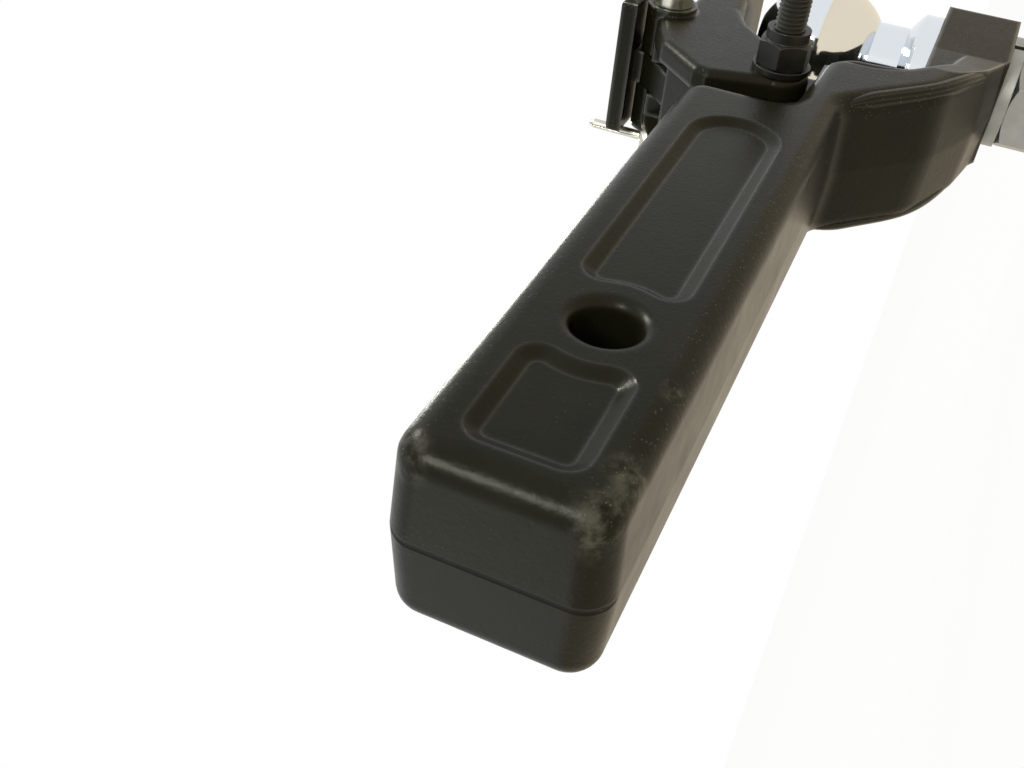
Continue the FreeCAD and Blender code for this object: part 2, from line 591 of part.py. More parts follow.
def make_latch():
    """Upper jaw: two cheeks that straddle the lug, knuckles for the lever and a beak over the ball."""
    body = new_body("latch")
    roof = "ball_height + ball_radius + beak_drop_gap"
    side = polygon(body, "cheek_outline", [
        ("pivot_reach - ear_radius", "pivot_height"),
        ("pivot_reach - 1.65 * ear_radius", "pivot_height + 2.1 * ear_radius"),
        ("pivot_reach - 1.5 * ear_radius", "pivot_height + 2.6 * ear_radius"),
        ("pivot_reach", "lever_height - 0.7 * knuckle_radius"),
        ("pivot_reach + 1.1 * ear_radius", "lever_height - 0.1 * knuckle_radius"),
        ("pivot_reach + lever_ahead - 0.9 * knuckle_radius", "lever_height + 0.3 * knuckle_radius"),
        ("pivot_reach + lever_ahead + 0.6 * knuckle_radius", "lever_height + 0.1 * knuckle_radius"),
        ("pivot_reach + lever_ahead + 1.1 * knuckle_radius", "spring_seat_height"),
        ("pivot_reach + lever_ahead + spring_behind + 2.4 * spring_radius", "spring_seat_height"),
        ("ball_reach", "spring_seat_height - 0.4 * knuckle_radius"),
        ("beak_reach - 0.5 * knuckle_radius", "spring_seat_height - 0.9 * knuckle_radius"),
        ("beak_reach", f"{roof} + 0.3 * knuckle_radius"),
        ("beak_reach - 0.4 * knuckle_radius", roof),
        ("pivot_reach + lever_ahead + spring_behind + 4 * spring_radius", roof),
        ("pivot_reach + lever_ahead + spring_behind", f"{roof} - 0.2 * knuckle_radius"),
        ("pivot_reach + lever_ahead + 0.4 * knuckle_radius", "pivot_height + 2 * ear_radius"),
        ("pivot_reach + lever_ahead - 1.1 * knuckle_radius", "pivot_height + 0.8 * ear_radius"),
        ("pivot_reach + ear_radius", "pivot_height")])
    pad(body, "cheeks", side, "cheek_half")
    pad(body, "ears", circle(body, "ear_outline", "pivot_reach", "pivot_height", "ear_radius"),
            "cheek_half")
    slim = polygon(body, "beak_taper_left", [
        ("beak_taper_start", "cheek_half"), ("beak_reach", "beak_tip_half"),
        ("beak_reach + knuckle_radius", "beak_tip_half"),
        ("beak_reach + knuckle_radius", "2 * cheek_half"), ("beak_taper_start", "2 * cheek_half")],
        "XY_Plane")
    trim = polygon(body, "beak_taper_right", [
        ("beak_taper_start", "-cheek_half"), ("beak_reach", "-beak_tip_half"),
        ("beak_reach + knuckle_radius", "-beak_tip_half"),
        ("beak_reach + knuckle_radius", "-2 * cheek_half"), ("beak_taper_start", "-2 * cheek_half")],
        "XY_Plane")
    cut(body, "beak_left", slim, "4 * cheek_half")
    cut(body, "beak_right", trim, "4 * cheek_half")
    round_edges(body, "latch_edges", "latch_edge_round", on_side("cheek_half"))
    knuckle = circle(body, "knuckle_outline", "pivot_reach + lever_ahead", "lever_height", "knuckle_radius")
    pad(body, "knuckles", knuckle, "knuckle_half")
    room = polygon(body, "lug_room_outline", [
        ("pivot_reach - 3 * ear_radius", "pivot_height - 2 * ear_radius"),
        ("pivot_reach + lever_ahead + 0.7 * knuckle_radius", "pivot_height - 2 * ear_radius"),
        ("pivot_reach + lever_ahead + 0.7 * knuckle_radius", "lever_height - 1.3 * knuckle_radius"),
        ("pivot_reach + lever_ahead - 1.5 * knuckle_radius", "lever_height - 1.3 * knuckle_radius"),
        ("pivot_reach + lever_ahead - 1.5 * knuckle_radius", "lever_height + 2 * knuckle_radius"),
        ("pivot_reach - 3 * ear_radius", "lever_height + 2 * knuckle_radius")])
    cut(body, "lug_room", room, "lug_half + cheek_gap")
    slot = polygon(body, "hub_slot_outline", [
        ("pivot_reach + lever_ahead - 2 * knuckle_radius", "lever_height - 1.4 * knuckle_radius"),
        ("pivot_reach + lever_ahead + knuckle_radius + hub_side_gap",
        "lever_height - 1.4 * knuckle_radius"),
        ("pivot_reach + lever_ahead + knuckle_radius + hub_side_gap", "lever_height + 2 * knuckle_radius"),
        ("pivot_reach + lever_ahead - 2 * knuckle_radius", "lever_height + 2 * knuckle_radius")])
    cut(body, "hub_slot", slot, "hub_half + hub_side_gap")
    bolt = circle(body, "bolt_hole_outline", "pivot_reach", "pivot_height", "bolt_radius + seat_gap")
    cut(body, "bolt_hole", bolt, "2 * cheek_half")
    pin = circle(body, "lever_pin_hole_outline", "pivot_reach + lever_ahead", "lever_height",
                 "lever_pin_radius + seat_gap")
    cut(body, "lever_pin_hole", pin, "2 * knuckle_half")
    return body


def make_lever():
    """Lock lever: hub on the clevis pin, arm down to a nose in the lug's notch, thumb plate on top."""
    body = new_body("lock_lever")
    pad(body, "hub", circle(body, "hub_outline", "pivot_reach + lever_ahead", "lever_height",
            "knuckle_radius"), "hub_half")
    arm = polygon(body, "arm_outline", lever_corners([
        (f"-({NOSE_REACH})", "arm_gap"), ("nose_half_length", "arm_gap"),
        ("nose_half_length", "paddle_thick"), (f"-({NOSE_REACH})", "arm_thick")]))
    pad(body, "arm", arm, "hub_half")
    paddle = polygon(body, "paddle_outline", lever_corners([
        (f"-({NOSE_REACH}) + 2.6 * knuckle_radius", "arm_gap"), ("-nose_half_length", "arm_gap"),
        ("-nose_half_length", "-nose_depth"), ("nose_half_length", "-nose_depth"),
        ("nose_half_length", "paddle_thick"), (f"-({NOSE_REACH}) + 2.6 * knuckle_radius", "arm_thick")]))
    pad(body, "paddle", paddle, "nose_half_width")
    base = "lever_height + knuckle_radius + plate_gap"
    stem = polygon(body, "stem_outline", [
        ("pivot_reach + lever_ahead - 0.7 * knuckle_radius", "lever_height"),
        ("pivot_reach + lever_ahead + 0.7 * knuckle_radius", "lever_height"),
        ("pivot_reach + lever_ahead + 0.7 * knuckle_radius", f"{base} + plate_thick / 2"),
        ("pivot_reach + lever_ahead - 0.7 * knuckle_radius", f"{base} + plate_thick / 2")])
    pad(body, "stem", stem, "hub_half")
    plate = polygon(body, "plate_outline", [
        ("pivot_reach + lever_ahead - plate_front", base), ("pivot_reach + lever_ahead + plate_back", base),
        ("pivot_reach + lever_ahead + plate_back", f"{base} + plate_thick"),
        ("pivot_reach + lever_ahead - plate_front", f"{base} + plate_thick")])
    pad(body, "thumb_plate", plate, "plate_half")
    round_edges(body, "plate_edges", "plate_round", on_side("plate_half"))
    hole = circle(body, "hub_hole_outline", "pivot_reach + lever_ahead", "lever_height",
                  "lever_pin_radius + running_fit")
    cut(body, "hub_hole", hole, "2 * hub_half")
    return body


def make_lever_fixings():
    """Clevis pin of the lever, its split cotter and the coil spring under the thumb plate."""
    head = primitive("Cylinder", "pin_head", Radius="pin_head_radius", Height="pin_head_height")
    drive(head, "Placement.Base.z", "-pin_head_height")
    stem = primitive("Cylinder", "pin_stem", Radius="lever_pin_radius",
                     Height="knuckle_half + seat_gap + pin_end_reach")
    blank = join("lever_pin_blank", [head, stem])
    along_y(blank, "-knuckle_half - seat_gap", "pivot_reach + lever_ahead", "lever_height")
    hole = primitive("Cylinder", "cotter_hole", Radius="cotter_radius + cotter_hole_gap",
                     Height="4 * lever_pin_radius")
    place(hole, "pivot_reach + lever_ahead", "cotter_reach", "lever_height - 2 * lever_pin_radius")
    pin = subtract("lever_pin", blank, hole)
    legs = primitive("Cylinder", "cotter_legs", Radius="cotter_radius",
                     Height="cotter_up + lever_pin_radius + cotter_radius + seat_gap")
    place(legs, "pivot_reach + lever_ahead", "cotter_reach",
          "lever_height - lever_pin_radius - cotter_radius - seat_gap")
    tip = primitive("Cone", "cotter_tip", Radius1="cotter_radius", Radius2="cotter_radius / 2",
                    Height="cotter_radius")
    place(tip, "pivot_reach + lever_ahead", "cotter_reach", "lever_height + cotter_up")
    eye = primitive("Torus", "cotter_eye", Radius1="cotter_eye_radius", Radius2="cotter_radius / sqrt(2)")
    eye.Placement = FreeCAD.Placement(Vector(), FreeCAD.Rotation(Vector(1, 0, 0), 90))
    place(eye, "pivot_reach + lever_ahead", "cotter_reach",
          "lever_height - lever_pin_radius - seat_gap - cotter_eye_radius - cotter_radius / sqrt(2)")
    split = primitive("Box", "cotter_split", Length="4 * cotter_radius", Width="cotter_radius / 6",
                      Height="cotter_up")
    place(split, "pivot_reach + lever_ahead - 2 * cotter_radius", "cotter_reach - cotter_radius / 12",
          "lever_height + lever_pin_radius + cotter_radius")
    cotter = subtract("cotter_pin", join("cotter_blank", [legs, tip, eye]), split)
    room = "(lever_height + knuckle_radius + plate_gap - spring_seat_height)"
    rise = f"({room} - 2 * spring_wire - 2 * seat_gap)"
    coil = primitive("Helix", "spring_path", Radius="spring_radius", Height=rise,
                     Pitch=f"{rise} / spring_turns")
    place(coil, "pivot_reach + lever_ahead + spring_behind", "0 * spring_radius",
          "spring_seat_height + spring_wire + seat_gap")
    wire = primitive("Circle", "spring_section", Radius="spring_wire")
    wire.Placement = FreeCAD.Placement(Vector(), FreeCAD.Rotation(Vector(1, 0, 0), 90))
    place(wire, "pivot_reach + lever_ahead + spring_behind + spring_radius", "0 * spring_radius",
          "spring_seat_height + spring_wire + seat_gap")
    doc.recompute()
    spring = doc.addObject("Part::Sweep", "lever_spring")
    spring.Label = "lever_spring"
    spring.Sections = [wire]
    spring.Spine = (coil, [])
    spring.Solid = True
    spring.Frenet = True
    doc.recompute()
    return [pin, cotter, spring]


def check(parts):
    """Stop before writing if any object failed or any piece has no sound solid."""
    failed = [thing.Name for thing in doc.Objects if "Invalid" in thing.State or "Error" in thing.State]
    if failed:
        raise RuntimeError(f"failed objects: {failed}")
    for thing in parts:
        if thing.Shape.isNull() or not thing.Shape.isValid() or not thing.Shape.Solids:
            raise RuntimeError(f"{thing.Label} has no sound solid")


def main():
    parts = [make_hook_body(), make_ball(), *make_ball_fixings(), *make_pivot(), make_latch(), make_lever(),
             *make_lever_fixings()]
    doc.recompute()
    check(parts)
    os.makedirs("parts", exist_ok=True)
    for thing in parts:
        thing.Shape.exportStep(f"parts/{thing.Label}.step")
        box = thing.Shape.BoundBox
        print(thing.Label, len(thing.Shape.Solids), round(thing.Shape.Volume),
              [round(v, 1) for v in (box.XMin, box.XMax, box.YMin, box.YMax, box.ZMin, box.ZMax)])


main()
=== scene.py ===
"""Looks for a pintle ball combination hitch: painted forgings, chrome ball, plated fasteners and a studio."""
import math

import bpy
from mathutils import Matrix, Vector


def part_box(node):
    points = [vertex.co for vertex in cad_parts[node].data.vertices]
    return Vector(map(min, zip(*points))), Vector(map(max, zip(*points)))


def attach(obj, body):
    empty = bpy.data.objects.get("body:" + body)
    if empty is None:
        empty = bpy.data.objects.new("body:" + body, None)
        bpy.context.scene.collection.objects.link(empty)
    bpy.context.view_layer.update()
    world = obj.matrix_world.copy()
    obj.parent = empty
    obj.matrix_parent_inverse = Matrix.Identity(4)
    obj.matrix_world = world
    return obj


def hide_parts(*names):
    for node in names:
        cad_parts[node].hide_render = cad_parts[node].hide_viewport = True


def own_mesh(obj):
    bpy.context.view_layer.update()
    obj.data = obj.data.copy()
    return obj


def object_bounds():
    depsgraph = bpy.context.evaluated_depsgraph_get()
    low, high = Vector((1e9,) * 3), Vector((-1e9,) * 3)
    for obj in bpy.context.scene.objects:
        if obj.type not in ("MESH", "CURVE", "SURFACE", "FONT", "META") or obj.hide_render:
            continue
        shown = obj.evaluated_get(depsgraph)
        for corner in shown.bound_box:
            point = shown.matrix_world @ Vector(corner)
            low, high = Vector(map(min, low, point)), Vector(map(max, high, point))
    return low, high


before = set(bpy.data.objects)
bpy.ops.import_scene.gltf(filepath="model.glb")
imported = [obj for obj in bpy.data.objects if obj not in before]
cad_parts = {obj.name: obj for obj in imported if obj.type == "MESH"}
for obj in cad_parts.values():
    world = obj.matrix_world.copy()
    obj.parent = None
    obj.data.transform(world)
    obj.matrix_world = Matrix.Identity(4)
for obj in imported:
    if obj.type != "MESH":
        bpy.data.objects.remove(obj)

bl_info = {
    "name": "Pintle ball hitch",
    "version": (1, 0, 0),
    "blender": (4, 5, 0),
    "location": "View3D > Sidebar > Hitch",
    "description": "Dresses the hitch with its finishes, threads and studio",
    "category": "Object",
}

MM = 0.001
CAD_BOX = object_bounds()
PIVOT_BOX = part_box("latch_pivot_bolt")
PIVOT_NUT_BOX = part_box("latch_pivot_nut")
BALL_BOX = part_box("hitch_ball")
BODY_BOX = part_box("hook_body")
SPRING_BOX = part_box("lever_spring")
FORGED_NODES = ("hook_body", "latch", "lock_lever")
BLACK_HARDWARE = ("pivot_washers", "latch_pivot_nut")
DULL_ZINC_NODES = ("ball_nut", "ball_lock_washer")
BRIGHT_ZINC_NODES = ("lever_pin", "cotter_pin")
PLAIN_STEEL_NODES = ("pivot_bush", "lever_spring")

# Paint: where the shank's rounded edges begin and end, from its middle plane
ROUND_FROM = 16.5 * MM
ROUND_FULL = 20.5 * MM
# Paint: front face and top of the sawn ball platform, each with a narrow band to fade over
PLATFORM_FRONT = (225.8 * MM, 226.4 * MM)
PLATFORM_TOP = (-42.2 * MM, -41.8 * MM)
# Paint: depth of the tail end that carries the forging seam with painted shade along it, and half the seam's
# width
TAIL_DEPTH = (4 * MM, 9 * MM)
SEAM_HALF = (0.15 * MM, 1.1 * MM)
PAINT_SPECULAR = 0.12
EDGE_COAT_ROUGHNESS = 0.16
# Ball: height of the threaded stud over the ball's lowest point, and the stud's thread pitch
STUD_TOP = (26 * MM, 26.5 * MM)
STUD_PITCH = 1.8 * MM
# Winding steps for each turn, and the share of a rail's radius that is left at its ends
THREAD_STEPS = 40
COIL_STEPS = 32
COIL_SIDES = 12
RAIL_END = 0.3
SOFT_ANGLE = 60
# Studio: share of the background's white on the floor, the rest being its lit surface with the shadow
FLOOR_WHITE = 0.95
FLOOR_GAP = 0.2 * MM
LAMP_COLOUR = (1.0, 1.0, 0.86)
LAMP_TARGET = (0.11, 0, -0.02)
LAMPS = (
    ("tail_side", (-1.00, -0.75, 0.35), 0.30, 9.0),
    ("overhead", (0.30, -0.60, 0.85), 0.25, 7.0),
    ("tail_panel", (-0.80, 0.70, 0.30), 0.50, 1.0),
    ("rim", (0.90, 0.40, 0.68), 0.30, 3.0),
)
SENSOR_WIDTH = 36
# Rails of the arm as (reach, distance from the middle plane, height) in mm
LOWER_RAIL = (
    (150, 21.8, -22.5), (157, 22.4, -28.5), (165.4, 22.4, -36.2), (179.5, 22.4, -49.2),
    (192, 22.2, -55.6), (207, 19.9, -60.9), (218, 18.1, -63.4), (226, 16.9, -64.9),
)
THROAT_RAIL = (
    (181.6, 21.8, -13.5), (181.9, 22.4, -19), (181.9, 22.4, -27), (184, 22.3, -37),
    (190, 22.2, -45.5), (199, 21.2, -51), (208, 19.8, -53.6), (218, 18.2, -56), (226, 16.9, -58),
)
# Bare spots on the tail's corners, each with its reach
SCUFFS = (
    ((BODY_BOX[0].x + 3 * MM, -21.5 * MM, 21.5 * MM), 9 * MM),
    ((BODY_BOX[0].x + 3 * MM, -22 * MM, -22 * MM), 11 * MM),
    ((BODY_BOX[0].x + 16 * MM, -22 * MM, -22 * MM), 9 * MM),
    ((BODY_BOX[0].x + 44 * MM, -23 * MM, -22 * MM), 6 * MM),
)


class HitchSizes(bpy.types.PropertyGroup):
    """Sizes of the pieces that the CAD model leaves plain."""
    bolt_radius: bpy.props.FloatProperty(
        name="Bolt radius", description="Half the pivot bolt's thread diameter",
        default=5 * MM, unit="LENGTH", precision=5)
    bolt_pitch: bpy.props.FloatProperty(
        name="Bolt pitch", description="Rise of the pivot bolt's thread in one turn",
        default=1.5 * MM, unit="LENGTH", precision=5)
    thread_depth: bpy.props.FloatProperty(
        name="Thread depth", description="Height of the thread's ridge over its root",
        default=0.85 * MM, unit="LENGTH", precision=5)
    thread_end: bpy.props.FloatProperty(
        name="Plain tip", description="Unthreaded length at the bolt's tip",
        default=1.2 * MM, unit="LENGTH", precision=5)
    head_height: bpy.props.FloatProperty(
        name="Head height", description="Height of the pivot bolt's hexagon head",
        default=6.4 * MM, unit="LENGTH", precision=5)
    spring_wire: bpy.props.FloatProperty(
        name="Spring wire", description="Radius of the spring's wire",
        default=0.8 * MM, unit="LENGTH", precision=5)
    spring_turns: bpy.props.IntProperty(
        name="Spring turns", description="Turns of the lever's spring", default=4, min=1)
    spring_keep: bpy.props.FloatProperty(
        name="Pressed height", description="Share of the spring's height left under the pressed lever",
        default=0.83, subtype="FACTOR", min=0.1, max=1)
    rail_radius: bpy.props.FloatProperty(
        name="Rail radius", description="Radius of the rolled edges along the arm",
        default=3 * MM, unit="LENGTH", precision=5)


class HitchLooks(bpy.types.PropertyGroup):
    """Colours and wear of the finishes."""
    paint: bpy.props.FloatVectorProperty(
        name="Paint", description="Black paint on the forgings", subtype="COLOR", size=3,
        default=(0.0080, 0.0080, 0.0045))
    bare: bpy.props.FloatVectorProperty(
        name="Worn edge", description="Steel that shows where the paint is rubbed thin", subtype="COLOR",
        size=3, default=(0.16, 0.155, 0.135))
    milled: bpy.props.FloatVectorProperty(
        name="Platform", description="Thin paint over the sawn faces of the ball's platform", subtype="COLOR",
        size=3, default=(0.019, 0.015, 0.011))
    chrome: bpy.props.FloatVectorProperty(
        name="Chrome", description="Polished chrome of the ball", subtype="COLOR", size=3,
        default=(0.72, 0.76, 0.80))
    dull_zinc: bpy.props.FloatVectorProperty(
        name="Dull zinc", description="Zinc plate on the ball's nut and lock washer", subtype="COLOR",
        size=3, default=(0.34, 0.35, 0.355))
    bright_zinc: bpy.props.FloatVectorProperty(
        name="Bright zinc", description="Zinc plate on the clevis pin and its cotter", subtype="COLOR",
        size=3, default=(0.62, 0.62, 0.54))
    black_oxide: bpy.props.FloatVectorProperty(
        name="Black oxide", description="Black finish of the pivot's bolt, nut and washers", subtype="COLOR",
        size=3, default=(0.010, 0.010, 0.0085))
    steel: bpy.props.FloatVectorProperty(
        name="Oiled steel", description="Plain steel of the spring and the bush", subtype="COLOR", size=3,
        default=(0.36, 0.35, 0.33))
    wear: bpy.props.FloatProperty(
        name="Edge wear", description="How far the paint is rubbed off the sharp edges", subtype="FACTOR",
        default=0.55, min=0, max=1)


class HitchStudio(bpy.types.PropertyGroup):
    """Camera, floor and lamps of the product photograph."""
    eye: bpy.props.FloatVectorProperty(
        name="Camera place", description="Where the camera stands", subtype="XYZ", unit="LENGTH", size=3,
        default=(-0.1987, -0.1727, -0.0545))
    gaze: bpy.props.FloatVectorProperty(
        name="Camera gaze", description="Direction that the camera looks in", subtype="DIRECTION", size=3,
        default=(0.722, 0.634, 0.276))
    upright: bpy.props.FloatVectorProperty(
        name="Camera top", description="Direction of the picture's top edge", subtype="DIRECTION", size=3,
        default=(0.556, -0.770, 0.315))
    lens: bpy.props.FloatProperty(
        name="Lens", description="Focal length on a sensor 36 mm wide", unit="CAMERA", default=39.48)
    floor_size: bpy.props.FloatProperty(
        name="Floor", description="Side of the floor", unit="LENGTH", default=30.0)
    floor_colour: bpy.props.FloatVectorProperty(
        name="Floor colour", description="Pale warm floor", subtype="COLOR", size=3,
        default=(0.66, 0.60, 0.50))
    floor_glow: bpy.props.FloatVectorProperty(
        name="Floor in the gloss", description="Floor as gloss and metal mirror it", subtype="COLOR",
        size=3, default=(1.0, 0.87, 0.66))
    dim: bpy.props.FloatVectorProperty(
        name="Low surroundings", description="Studio at eye level", subtype="COLOR", size=3,
        default=(0.10, 0.10, 0.080))
    bright: bpy.props.FloatVectorProperty(
        name="High surroundings", description="Studio overhead", subtype="COLOR", size=3,
        default=(0.95, 0.95, 0.93))


class Signal:
    """Output of a shader node that takes part in Python arithmetic, each operator adding a Math node."""

    def __init__(self, finish, socket):
        self.finish = finish
        self.socket = socket

    def combine(self, operation, first, second):
        return self.finish.node("ShaderNodeMath", {"operation": operation}, {0: first, 1: second})

    def __add__(self, other):
        return self.combine("ADD", self, other)

    def __radd__(self, other):
        return self.combine("ADD", other, self)

    def __sub__(self, other):
        return self.combine("SUBTRACT", self, other)

    def __rsub__(self, other):
        return self.combine("SUBTRACT", other, self)

    def __mul__(self, other):
        return self.combine("MULTIPLY", self, other)

    def __rmul__(self, other):
        return self.combine("MULTIPLY", other, self)


class Finish:
    """Procedural material: nodes come from one method, and values go to the surface's own sockets."""

    def __init__(self, material):
        self.material = material
        self.material.use_nodes = True
        self.tree = self.material.node_tree
        self.surface = self.tree.nodes.get("Principled BSDF") or self.tree.nodes["Background"]

    def node(self, kind, settings=None, inputs=None, output=0):
        made = self.tree.nodes.new(kind)
        for key, value in (settings or {}).items():
            if key == "stops":
                for stop, (position, colour) in zip(made.color_ramp.elements, value):
                    stop.position = position
                    stop.color = (*colour, 1)
            else:
                setattr(made, key, value)
        for key, value in (inputs or {}).items():
            self.feed(made.inputs[key], value)
        return Signal(self, made.outputs[output])

    def feed(self, socket, value):
        if isinstance(value, Signal):
            self.tree.links.new(value.socket, socket)
        elif socket.type == "RGBA":
            socket.default_value = (*value, 1)
        else:
            socket.default_value = value

    def set_inputs(self, **values):
        """Value or signal for each named socket of the surface, with underscores for spaces."""
        for key, value in values.items():
            self.feed(self.surface.inputs[key.replace("_", " ")], value)

    def place(self):
        return self.node("ShaderNodeTexCoord", output="Object")

    def axis(self, place, name):
        return self.node("ShaderNodeSeparateXYZ", None, {0: place}, name)

    def grain(self, place, scale, detail=3.0, rough=0.5):
        return self.node("ShaderNodeTexNoise", None,
                         {"Vector": place, "Scale": scale, "Detail": detail, "Roughness": rough})

    def stretched_grain(self, place, scales, detail):
        """Noise drawn out along the axes with small scales."""
        drawn = self.node("ShaderNodeMapping", None, {"Vector": place, "Scale": scales})
        return self.grain(drawn, 1.0, detail)

    def ray(self, kind):
        return self.node("ShaderNodeLightPath", output=f"Is {kind} Ray")

    def cells(self, place, scale):
        return self.node("ShaderNodeTexVoronoi", None, {"Vector": place, "Scale": scale}, "Distance")

    def step(self, value, low, high):
        return self.node("ShaderNodeMapRange", {"interpolation_type": "SMOOTHSTEP"},
                         {"Value": value, "From Min": low, "From Max": high})

    def blend(self, factor, first, second):
        return self.node("ShaderNodeMix", {"data_type": "RGBA"}, {0: factor, 6: first, 7: second}, 2)

    def tone(self, value, dark, pale):
        return self.node("ShaderNodeValToRGB", {"stops": ((0.0, dark), (1.0, pale))}, {0: value})

    def size(self, value):
        return self.node("ShaderNodeMath", {"operation": "ABSOLUTE"}, {0: value})

    def near(self, place, spot, reach):
        """One at a spot, fading to nothing at reach from it."""
        away = self.node("ShaderNodeVectorMath", {"operation": "DISTANCE"}, {0: place, 1: spot}, "Value")
        return 1 - self.step(away, 0.2 * reach, reach)

    def soft_normal(self, radius, samples=6):
        return self.node("ShaderNodeBevel", {"samples": samples}, {"Radius": radius})

    def edge(self, radius, low, high):
        """One where the surface turns sharply within radius, zero on faces."""
        softened = self.soft_normal(radius)
        flat = self.node("ShaderNodeNewGeometry", output="True Normal")
        along = self.node("ShaderNodeVectorMath", {"operation": "DOT_PRODUCT"},
                          {0: softened, 1: flat}, "Value")
        return self.step(1 - along, low, high)

    def relief(self, height, depth, strength, normal=None):
        values = {"Height": height, "Distance": depth, "Strength": strength}
        if normal:
            values["Normal"] = normal
        return self.node("ShaderNodeBump", None, values)


def scaled(colour, factor):
    return tuple(min(1.0, part * factor) for part in colour)


def forged_paint(looks):
    """Semi-gloss black over a blasted forging, rubbed on its edges and thin on the sawn platform."""
    finish = Finish(bpy.data.materials.new("forged_black_paint"))
    place = finish.place()
    mottle = finish.grain(place, 55, 4)
    peel = finish.grain(place, 780, 2, 0.6)
    scale_marks = finish.grain(place, 150, 3, 0.55)
    pits = finish.step(finish.cells(place, 330), 0.0, 0.16)
    across = finish.size(finish.axis(place, "Y"))
    upward = finish.size(finish.axis(place, "Z"))
    rounded = finish.step(across.combine("MINIMUM", across, upward), ROUND_FROM, ROUND_FULL)
    dust = finish.step(finish.grain(place, 95, 2), 0.50, 0.72) * 0.4 + rounded
    speck = (1 - finish.step(finish.cells(place, 760), 0.08, 0.24)) * dust
    edge = finish.edge(1.3 * MM, 0.03, 0.22)
    rub = finish.step(finish.grain(place, 140, 4, 0.65), 0.42, 0.70)
    reach = finish.axis(place, "X")
    scuff = sum(finish.near(place, spot, size) for spot, size in SCUFFS)
    worn = (edge + scuff) * rub * looks.wear
    tail = 1 - finish.step(reach, *(BODY_BOX[0].x + depth for depth in TAIL_DEPTH))
    seam_and_painted_shade = tail * (1 - finish.step(across, *SEAM_HALF))
    below_top = 1 - finish.step(finish.axis(place, "Z"), *PLATFORM_TOP)
    platform = finish.step(reach, *PLATFORM_FRONT) * below_top
    saw = finish.stretched_grain(place, (240, 240, 2600), 2)
    base = finish.tone(mottle, scaled(looks.paint, 0.62), scaled(looks.paint, 1.5))
    sawn = finish.tone(saw, scaled(looks.milled, 0.6), scaled(looks.milled, 1.45))
    base = finish.blend(platform, base, sawn)
    base = finish.blend(speck * 0.45, base, scaled(looks.bare, 0.8))
    # Painted shade: the seam's groove line is painted darker than the paint around it
    base = finish.blend(seam_and_painted_shade * 0.75, base, scaled(looks.paint, 0.25))
    base = finish.blend(worn, base, tuple(looks.bare))
    gloss = 0.20 + 0.12 * mottle + 0.08 * scale_marks + 0.2 * platform + 0.2 * seam_and_painted_shade
    skin = 0.6 * peel + 0.6 * scale_marks + 0.3 * pits + 0.5 * platform * saw - 2.2 * seam_and_painted_shade
    handled = finish.edge(2.6 * MM, 0.004, 0.06) * (0.6 + 0.4 * scale_marks)
    finish.set_inputs(
        Base_Color=base, Roughness=gloss, Specular_IOR_Level=PAINT_SPECULAR,
        Coat_Weight=handled, Coat_Roughness=EDGE_COAT_ROUGHNESS,
        Normal=finish.relief(skin, 0.22 * MM, 0.5, finish.soft_normal(2.0 * MM)))
    return finish.material


def ball_chrome(looks):
    """Polished chrome with turning marks too fine to feel, and a dulled thread on the stud."""
    finish = Finish(bpy.data.materials.new("ball_chrome"))
    place = finish.place()
    height = finish.axis(place, "Z")
    smudge = finish.grain(place, 60, 3)
    stud = 1 - finish.step(height, *(BALL_BOX[0].z + top for top in STUD_TOP))
    rings = finish.node("ShaderNodeMath", {"operation": "SINE"}, {0: height * (2 * math.pi / STUD_PITCH)})
    lines = finish.stretched_grain(place, (30, 30, 4000), 1)
    base = finish.blend(stud, tuple(looks.chrome), tuple(looks.dull_zinc))
    finish.set_inputs(
        Base_Color=base, Metallic=1.0, Roughness=0.05 + 0.05 * smudge + 0.28 * stud,
        Normal=finish.relief(rings * stud + 0.015 * lines, 0.30 * MM, 0.6))
    return finish.material


def plated_zinc(name, colour, roughness):
    """Zinc plate with the soft crystalline mottle of a barrel-plated fastener."""
    finish = Finish(bpy.data.materials.new(name))
    place = finish.place()
    mottle = finish.grain(place, 210, 4, 0.6)
    spangle = finish.cells(place, 420)
    scratch = finish.stretched_grain(place, (900, 900, 90), 2)
    base = finish.tone(mottle, scaled(colour, 0.72), scaled(colour, 1.18))
    edge = finish.edge(0.6 * MM, 0.04, 0.25)
    base = finish.blend(edge * 0.5, base, scaled(colour, 1.45))
    skin = 0.5 * spangle + 0.4 * scratch
    finish.set_inputs(
        Base_Color=base, Metallic=0.95, Roughness=roughness + 0.14 * mottle,
        Normal=finish.relief(skin, 0.06 * MM, 0.5, finish.soft_normal(0.5 * MM)))
    return finish.material


def black_oxide(looks):
    """Thin black finish of bolts, a little bare on its edges."""
    finish = Finish(bpy.data.materials.new("black_oxide"))
    place = finish.place()
    mottle = finish.grain(place, 260, 4, 0.6)
    edge = finish.edge(0.5 * MM, 0.04, 0.25)
    base = finish.tone(mottle, scaled(looks.black_oxide, 0.6), scaled(looks.black_oxide, 1.6))
    base = finish.blend(edge * 0.35, base, scaled(looks.bare, 1.2))
    finish.set_inputs(
        Base_Color=base, Metallic=0.35, Roughness=0.30 + 0.2 * mottle,
        Normal=finish.relief(mottle, 0.05 * MM, 0.5, finish.soft_normal(0.4 * MM)))
    return finish.material


def oiled_steel(looks):
    """Plain steel with a film of oil."""
    finish = Finish(bpy.data.materials.new("oiled_steel"))
    place = finish.place()
    mottle = finish.grain(place, 300, 3)
    base = finish.tone(mottle, scaled(looks.steel, 0.65), scaled(looks.steel, 1.2))
    finish.set_inputs(Base_Color=base, Metallic=1.0, Roughness=0.28 + 0.18 * mottle)
    return finish.material


def dress(node, material):
    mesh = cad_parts[node].data
    mesh.materials.clear()
    mesh.materials.append(material)


def finish_with(piece, name):
    """Give a new piece one material by name."""
    piece.data.materials.clear()
    piece.data.materials.append(bpy.data.materials[name])


def start_piece():
    """Leave edit mode with nothing selected."""
    if bpy.context.object and bpy.context.object.mode != "OBJECT":
        bpy.ops.object.mode_set(mode="OBJECT")
    bpy.ops.object.select_all(action="DESELECT")


